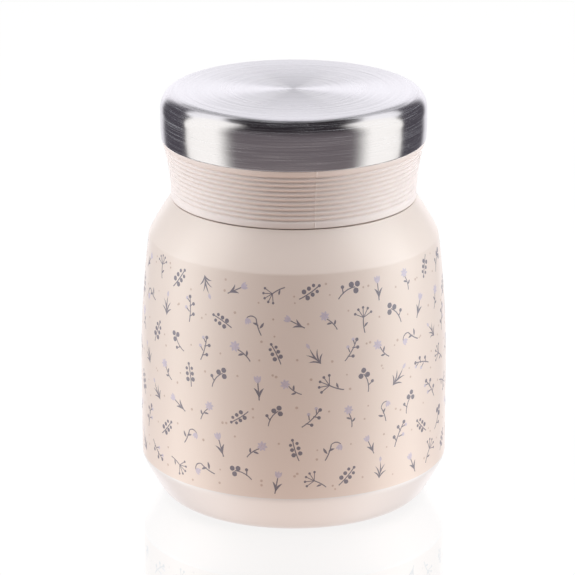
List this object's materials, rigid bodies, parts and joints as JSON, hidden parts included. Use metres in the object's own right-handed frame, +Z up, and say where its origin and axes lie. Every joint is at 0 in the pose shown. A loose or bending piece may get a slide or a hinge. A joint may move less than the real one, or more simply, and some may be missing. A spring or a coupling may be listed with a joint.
{
  "type": "insulated food jar",
  "caption": "Double-walled steel food jar with a chamfered foot, sloping shoulder, and a screw lid with a ribbed grip ring under a brushed steel cap.",
  "frame": {"origin": "centre of the foot, on the surface that the jar stands on", "axes": "+Z up along the jar's axis; the jar is round, so +X and +Y are any two level directions at right angles"},
  "size_m": [0.09, 0.09, 0.122],
  "materials": {
    "powder_coat": "satin blush powder coat with a small printed sprig pattern",
    "raw_steel": "mill finish",
    "sealing_glass": "dark solder glass",
    "getter_alloy": "sintered, matte",
    "reflecting_foil": "bright metal foil",
    "polished_steel": "satin electropolished stainless",
    "brushed_steel": "brushed round the axis",
    "grip_plastic": "satin moulded polypropylene",
    "inner_plastic": "natural polypropylene",
    "insulation_foam": "cut foam",
    "seal_silicone": "translucent silicone"
  },
  "bodies": {
    "jar": {"outer_shell": "powder_coat", "outer_bottom": "powder_coat", "middle_bottom": "raw_steel", "seal_bead": "sealing_glass", "getter": "getter_alloy", "radiation_foil": "reflecting_foil", "inner_wall": "polished_steel", "inner_bottom": "polished_steel", "threaded_neck": "polished_steel"},
    "lid_carrier": {"lid_insulation": "insulation_foam"},
    "lid_riser": {"lid_seal": "seal_silicone"},
    "lid": {"steel_cap": "brushed_steel", "grip_ring": "grip_plastic", "lid_core": "inner_plastic", "core_cover": "inner_plastic"}
  },
  "joints": [
    {"name": "lid_lift", "type": "slide", "parent": "jar", "child": "lid_carrier", "axis": [0, 0, 1], "range_m": [0, 0.05]},
    {"name": "lid_rise", "type": "slide", "parent": "lid_carrier", "child": "lid_riser", "axis": [0, 0, 1], "range_m": [0, 0.006]},
    {"name": "lid_turn", "type": "hinge", "parent": "lid_riser", "child": "lid", "pos_m": [0, 0, 0.1], "axis": [0, 0, 1], "range_deg": [0, 540]}
  ],
  "couplings": [
    {"joint": "lid_rise", "follows": "lid_turn", "m_per_rad": 0.00063662}
  ]
}
